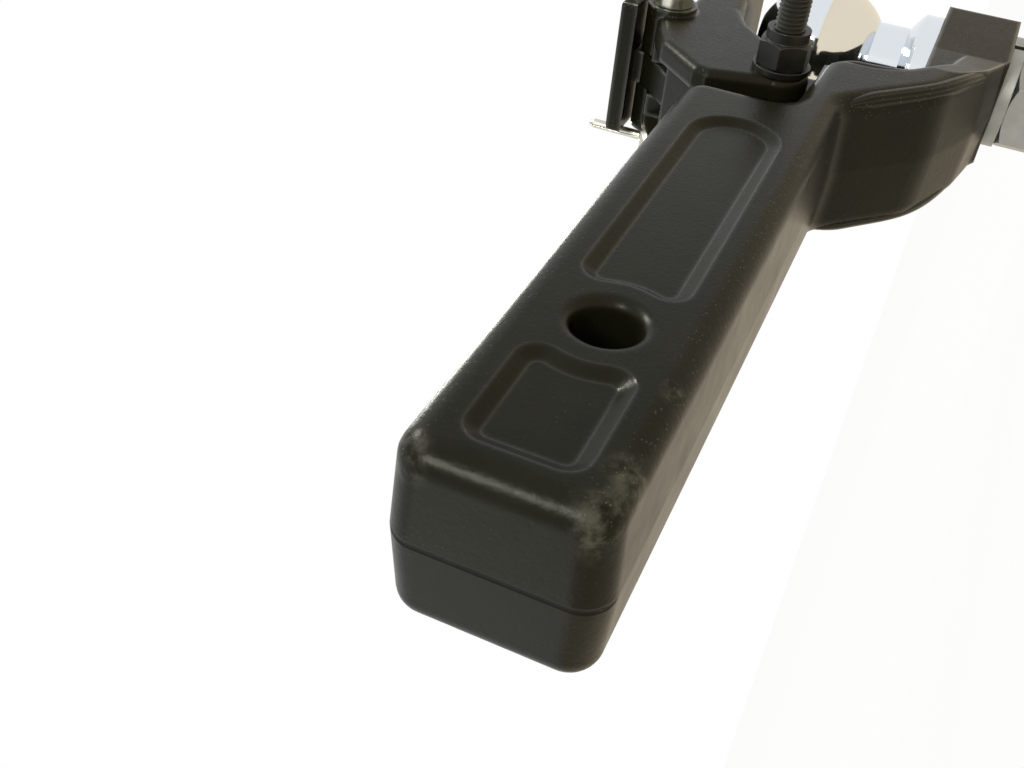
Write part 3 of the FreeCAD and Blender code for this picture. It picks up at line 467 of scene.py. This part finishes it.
def pick(piece):
    """Select one piece alone and make it active."""
    start_piece()
    bpy.context.view_layer.objects.active = piece
    piece.select_set(True)


def select_where(piece, wanted):
    """In edit mode, select the vertices whose place passes the test."""
    bpy.ops.mesh.select_mode(type="VERT")
    bpy.ops.mesh.select_all(action="DESELECT")
    bpy.ops.object.mode_set(mode="OBJECT")
    for vertex in piece.data.vertices:
        vertex.select = wanted(vertex.co)
    bpy.ops.object.mode_set(mode="EDIT")


def close_up(piece):
    """Merge what a spin left double, close its ends and point the faces outwards."""
    pick(piece)
    bpy.ops.object.mode_set(mode="EDIT")
    bpy.ops.mesh.select_all(action="SELECT")
    bpy.ops.mesh.remove_doubles(threshold=1e-6)
    bpy.ops.mesh.fill_holes(sides=0)
    bpy.ops.mesh.select_all(action="SELECT")
    bpy.ops.mesh.normals_make_consistent(inside=False)
    bpy.ops.object.mode_set(mode="OBJECT")


def settle(piece, turn, spot):
    """Turn and move a piece made about the origin, and leave its place in its mesh."""
    piece.matrix_world = Matrix.Translation(spot) @ turn.to_4x4()
    pick(piece)
    bpy.ops.object.transform_apply(location=True, rotation=True, scale=True)


def fuse(name, parts):
    """Join shells into one object."""
    start_piece()
    for part in parts:
        part.select_set(True)
    bpy.context.view_layer.objects.active = parts[0]
    bpy.ops.object.join()
    parts[0].name = name
    parts[0].data.name = name
    return parts[0]


def wind_up(section, pitch, turns, steps, merge=False):
    """Sweep the active section around and up the Z axis, and close its ends."""
    wind = section.modifiers.new("wind", "SCREW")
    wind.axis = "Z"
    wind.screw_offset = pitch
    wind.iterations = turns
    wind.steps = steps
    wind.render_steps = steps
    wind.use_merge_vertices = merge
    bpy.ops.object.modifier_apply(modifier="wind")
    close_up(section)


def thread_ridge(radius, depth, pitch, turns):
    """Trapezoid ridge wound up the Z axis from its start at the origin."""
    start_piece()
    middle = (radius - depth / 2, 0, 0)
    bpy.ops.mesh.primitive_plane_add(size=pitch, rotation=(math.pi / 2, 0, 0), location=middle)
    bpy.ops.object.transform_apply(location=True, rotation=True, scale=True)
    ridge = bpy.context.object
    bpy.ops.object.mode_set(mode="EDIT")
    bpy.ops.mesh.select_all(action="SELECT")
    bpy.ops.transform.resize(value=(1.25 * depth / pitch, 1, 0.94), center_override=middle)
    select_where(ridge, lambda co: co.x > middle[0])
    bpy.ops.transform.resize(value=(1, 1, 0.16), center_override=middle)
    bpy.ops.mesh.select_all(action="SELECT")
    bpy.ops.mesh.delete(type="ONLY_FACE")
    bpy.ops.object.mode_set(mode="OBJECT")
    wind_up(ridge, pitch, turns, THREAD_STEPS, merge=True)
    return ridge


def coil_spring(name, radius, wire, rise, turns):
    """Round wire wound up the Z axis, its first section centred at the height of the origin."""
    start_piece()
    bpy.ops.mesh.primitive_circle_add(
        vertices=COIL_SIDES, radius=wire, rotation=(math.pi / 2, 0, 0), location=(radius, 0, 0))
    bpy.ops.object.transform_apply(location=True, rotation=True, scale=True)
    coil = bpy.context.object
    coil.name = name
    wind_up(coil, rise / turns, turns, COIL_STEPS)
    return coil


def turned_rod(name, profile, steps=48):
    """Solid of revolution about Z through (radius, height) points, from a spun edge."""
    start_piece()
    bpy.ops.mesh.primitive_plane_add(size=MM)
    rod = bpy.context.object
    rod.name = name
    bpy.ops.object.mode_set(mode="EDIT")
    bpy.ops.mesh.select_all(action="SELECT")
    bpy.ops.mesh.merge(type="CENTER")
    bpy.ops.transform.translate(value=(profile[0][0], 0, profile[0][1]))
    for before, after in zip(profile, profile[1:]):
        step = (after[0] - before[0], 0, after[1] - before[1])
        bpy.ops.mesh.extrude_region_move(TRANSFORM_OT_translate={"value": step})
    bpy.ops.mesh.select_all(action="SELECT")
    bpy.ops.mesh.spin(steps=steps, angle=2 * math.pi, center=(0, 0, 0), axis=(0, 0, 1))
    bpy.ops.object.mode_set(mode="OBJECT")
    close_up(rod)
    return rod


def hexagon_head(flats, height):
    """Bolt head that stands up the Z axis, its outer corners cut by a cone."""
    start_piece()
    bpy.ops.mesh.primitive_cone_add(vertices=64, radius1=flats / 2 + 1.9 * height, radius2=flats / 2 * 0.97,
                                    depth=height, location=(0, 0, height / 2))
    cone = bpy.context.object
    bpy.ops.object.transform_apply(location=True, rotation=True, scale=True)
    start_piece()
    bpy.ops.mesh.primitive_cylinder_add(vertices=6, radius=flats / math.sqrt(3), depth=height,
                                        location=(0, 0, height / 2), rotation=(0, 0, math.pi / 6))
    head = bpy.context.object
    bpy.ops.object.transform_apply(location=True, rotation=True, scale=True)
    trim = head.modifiers.new("trim", "BOOLEAN")
    trim.operation = "INTERSECT"
    trim.object = cone
    bpy.ops.object.modifier_apply(modifier="trim")
    bpy.data.objects.remove(cone)
    return head


def rolled_edge(name, rail, radius):
    """Bead along a rail of (reach, side, height) points, once on each side of the forging."""
    curve = bpy.data.curves.new(name, "CURVE")
    curve.dimensions = "3D"
    curve.bevel_depth = radius
    curve.bevel_resolution = 4
    curve.use_fill_caps = True
    for side in (-1, 1):
        spline = curve.splines.new("NURBS")
        spline.points.add(len(rail) - 1)
        for point, (reach, away, height) in zip(spline.points, rail):
            point.co = (reach * MM, side * away * MM, height * MM, 1)
        spline.points[0].radius = RAIL_END
        spline.points[-1].radius = RAIL_END
        spline.order_u = 3
        spline.use_endpoint_u = True
        spline.resolution_u = 6
    bead = bpy.data.objects.new(name, curve)
    bpy.context.scene.collection.objects.link(bead)
    pick(bead)
    bpy.ops.object.convert(target="MESH")
    close_up(bead)
    smooth(bead, SOFT_ANGLE)
    return bead


def smooth(piece, degrees=32):
    pick(piece)
    bpy.ops.object.shade_smooth_by_angle(angle=math.radians(degrees))


class HITCH_OT_forgings(bpy.types.Operator):
    """Paint the hook body, the latch and the lock lever"""
    bl_idname = "hitch.forgings"
    bl_label = "Paint forgings"

    def execute(self, context):
        paint = forged_paint(context.scene.hitch_looks)
        for node in FORGED_NODES:
            dress(node, paint)
        return {"FINISHED"}


class HITCH_OT_metals(bpy.types.Operator):
    """Plate the ball, the nuts, the pins and the spring"""
    bl_idname = "hitch.metals"
    bl_label = "Plate fittings"

    def execute(self, context):
        looks = context.scene.hitch_looks
        dress("hitch_ball", ball_chrome(looks))
        groups = (
            (DULL_ZINC_NODES, plated_zinc("dull_zinc", looks.dull_zinc, 0.36)),
            (BRIGHT_ZINC_NODES, plated_zinc("bright_zinc", looks.bright_zinc, 0.22)),
            (BLACK_HARDWARE, black_oxide(looks)),
            (PLAIN_STEEL_NODES, oiled_steel(looks)),
        )
        for nodes, material in groups:
            for node in nodes:
                dress(node, material)
        return {"FINISHED"}


class HITCH_OT_pivot_bolt(bpy.types.Operator):
    """Model the latch's pivot bolt with its hexagon head and full thread"""
    bl_idname = "hitch.pivot_bolt"
    bl_label = "Pivot bolt"

    def execute(self, context):
        sizes = context.scene.hitch_sizes
        low, high = PIVOT_BOX
        axis_x = (low.x + high.x) / 2
        axis_z = (low.z + high.z) / 2
        seat = high.y - sizes.head_height
        tail = seat - low.y
        core = sizes.bolt_radius - sizes.thread_depth
        thread_start = seat - PIVOT_NUT_BOX[1].y
        turns = int((tail - thread_start - sizes.thread_end) / sizes.bolt_pitch)
        rod = turned_rod("bolt_rod", [
            (0, 0), (sizes.bolt_radius, 0), (sizes.bolt_radius, -thread_start),
            (core, -thread_start - sizes.thread_depth), (core, -tail + sizes.thread_depth / 2),
            (core - sizes.thread_depth / 2, -tail), (0, -tail)])
        ridge = thread_ridge(sizes.bolt_radius, sizes.thread_depth, sizes.bolt_pitch, turns)
        settle(ridge, Matrix.Identity(3), Vector((0, 0, -tail + sizes.thread_end)))
        head = hexagon_head(high.z - low.z, sizes.head_height)
        bolt = fuse("threaded_pivot_bolt", [rod, ridge, head])
        settle(bolt, Matrix.Rotation(-math.pi / 2, 3, "X"), Vector((axis_x, seat, axis_z)))
        smooth(bolt)
        finish_with(bolt, "black_oxide")
        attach(bolt, "latch")
        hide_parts("latch_pivot_bolt")
        return {"FINISHED"}


class HITCH_OT_lever_spring(bpy.types.Operator):
    """Wind the coil spring under the thumb plate"""
    bl_idname = "hitch.lever_spring"
    bl_label = "Lever spring"

    def execute(self, context):
        sizes = context.scene.hitch_sizes
        low, high = SPRING_BOX
        middle = (low + high) / 2
        wire = sizes.spring_wire
        coil = coil_spring("wound_lever_spring", (high.x - low.x) / 2 - wire, wire,
                           high.z - low.z - 2 * wire, sizes.spring_turns)
        settle(coil, Matrix.Identity(3), Vector((middle.x, middle.y, low.z + wire)))
        smooth(coil, SOFT_ANGLE)
        finish_with(coil, "oiled_steel")
        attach(coil, "latch")
        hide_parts("lever_spring")
        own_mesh(coil)
        return {"FINISHED"}


class HITCH_OT_rolled_edges(bpy.types.Operator):
    """Raise the rolled rails that run along the lower and the throat edges of the arm"""
    bl_idname = "hitch.rolled_edges"
    bl_label = "Rolled edges"

    def execute(self, context):
        sizes = context.scene.hitch_sizes
        for name, rail in (("arm_rail_lower", LOWER_RAIL), ("arm_rail_throat", THROAT_RAIL)):
            bead = rolled_edge(name, rail, sizes.rail_radius)
            finish_with(bead, "forged_black_paint")
            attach(bead, "root")
        return {"FINISHED"}


class HITCH_OT_studio(bpy.types.Operator):
    """Set the floor, the lamps, the world and the camera of the product photograph"""
    bl_idname = "hitch.studio"
    bl_label = "Studio"

    def execute(self, context):
        studio = context.scene.hitch_studio
        context.scene.view_settings.view_transform = "Standard"
        self.floor(studio)
        self.surroundings(context, studio)
        self.lamps()
        self.camera(context, studio)
        return {"FINISHED"}

    def floor(self, studio):
        start_piece()
        bpy.ops.mesh.primitive_plane_add(size=studio.floor_size, location=(0, 0, CAD_BOX[0].z - FLOOR_GAP))
        bpy.ops.object.transform_apply(location=True, rotation=True, scale=True)
        ground = bpy.context.object
        ground.name = "floor"
        finish = Finish(bpy.data.materials.new("pale_floor"))
        finish.set_inputs(Base_Color=tuple(studio.floor_colour), Roughness=0.8)
        seen = finish.ray("Camera")
        mirrored = finish.ray("Glossy") + finish.ray("Transmission")
        white = finish.node("ShaderNodeEmission", None, {"Color": (1, 1, 1), "Strength": 1.0})
        warm = finish.node("ShaderNodeEmission", None, {"Color": tuple(studio.floor_glow), "Strength": 1.0})
        surface = Signal(finish, finish.surface.outputs[0])
        for share, glow in ((mirrored, warm), (seen, white)):
            surface = finish.node("ShaderNodeMixShader", None, {0: FLOOR_WHITE * share, 1: surface, 2: glow})
        finish.feed(finish.tree.nodes["Material Output"].inputs["Surface"], surface)
        ground.data.materials.append(finish.material)

    def surroundings(self, context, studio):
        world = bpy.data.worlds.new("studio")
        context.scene.world = world
        finish = Finish(world)
        height = finish.axis(finish.node("ShaderNodeTexCoord", output="Generated"), "Z")
        room = finish.blend(finish.step(height, 0.5, 0.95), tuple(studio.dim), tuple(studio.bright))
        shown = finish.ray("Camera") + finish.ray("Glossy") + finish.ray("Transmission")
        finish.set_inputs(Color=finish.blend(shown, room, (1, 1, 1)))

    def lamps(self):
        for name, spot, width, power in LAMPS:
            aim = Vector(LAMP_TARGET) - Vector(spot)
            start_piece()
            bpy.ops.object.light_add(type="AREA", location=spot)
            lamp = bpy.context.object
            lamp.name = name
            lamp.data.size = width
            lamp.data.energy = power
            lamp.data.color = LAMP_COLOUR
            lamp.rotation_euler = aim.to_track_quat("-Z", "Y").to_euler()

    def camera(self, context, studio):
        bpy.ops.object.camera_add()
        camera = bpy.context.object
        camera.data.sensor_width = SENSOR_WIDTH
        camera.data.lens = studio.lens
        camera.data.clip_start = 0.01
        gaze = Vector(studio.gaze).normalized()
        right = gaze.cross(Vector(studio.upright)).normalized()
        top = right.cross(gaze)
        turn = Matrix((right, top, -gaze)).transposed()
        camera.matrix_world = Matrix.Translation(studio.eye) @ turn.to_4x4()
        context.scene.camera = camera


class HITCH_PT_sidebar(bpy.types.Panel):
    """Buttons for each group of pieces, in building order"""
    bl_idname = "HITCH_PT_sidebar"
    bl_label = "Hitch"
    bl_space_type = "VIEW_3D"
    bl_region_type = "UI"
    bl_category = "Hitch"

    def draw(self, context):
        for operator in STEPS:
            self.layout.operator(operator.bl_idname)
        for group in ("hitch_sizes", "hitch_looks", "hitch_studio"):
            settings = getattr(context.scene, group)
            box = self.layout.box()
            for name in settings.__annotations__:
                box.prop(settings, name)


GROUPS = (HitchSizes, HitchLooks, HitchStudio)
STEPS = (HITCH_OT_forgings, HITCH_OT_metals, HITCH_OT_pivot_bolt, HITCH_OT_lever_spring,
         HITCH_OT_rolled_edges, HITCH_OT_studio)


def register():
    for kind in (*GROUPS, *STEPS, HITCH_PT_sidebar):
        bpy.utils.register_class(kind)
    bpy.types.Scene.hitch_sizes = bpy.props.PointerProperty(type=HitchSizes)
    bpy.types.Scene.hitch_looks = bpy.props.PointerProperty(type=HitchLooks)
    bpy.types.Scene.hitch_studio = bpy.props.PointerProperty(type=HitchStudio)


def unregister():
    del bpy.types.Scene.hitch_studio
    del bpy.types.Scene.hitch_looks
    del bpy.types.Scene.hitch_sizes
    for kind in (HITCH_PT_sidebar, *reversed(STEPS), *reversed(GROUPS)):
        bpy.utils.unregister_class(kind)


def main():
    register()
    bpy.ops.hitch.forgings()
    bpy.ops.hitch.metals()
    bpy.ops.hitch.pivot_bolt()
    bpy.ops.hitch.lever_spring()
    bpy.ops.hitch.rolled_edges()
    bpy.ops.hitch.studio()


if __name__ == "__main__":
    main()
